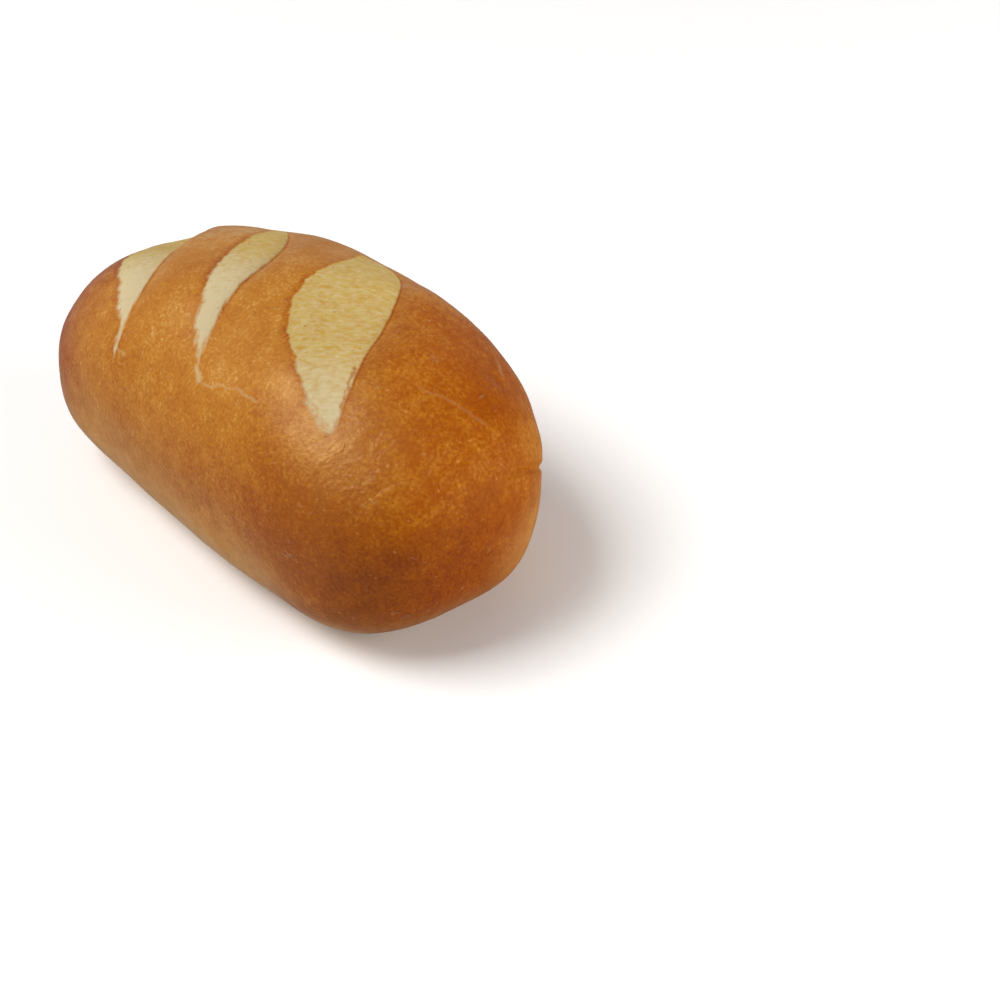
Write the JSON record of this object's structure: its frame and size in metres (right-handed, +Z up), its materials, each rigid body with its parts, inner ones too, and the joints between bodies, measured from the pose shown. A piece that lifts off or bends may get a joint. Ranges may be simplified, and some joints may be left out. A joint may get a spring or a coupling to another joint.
{
  "type": "sub roll",
  "caption": "Plump oblong sub roll with a golden crust, a flat base and slanting slashes across its crown that opened to pale crumb.",
  "frame": {"origin": "centre of the roll's bounding box in plan, on the flat base", "axes": "+X along the roll towards its fuller, pinched end, +Z up from the base through the slashed crown"},
  "size_m": [0.15, 0.0806, 0.0669],
  "materials": {
    "crust": "satin golden brown crust"
  },
  "bodies": {
    "root": {"roll": "crust"}
  },
  "joints": []
}
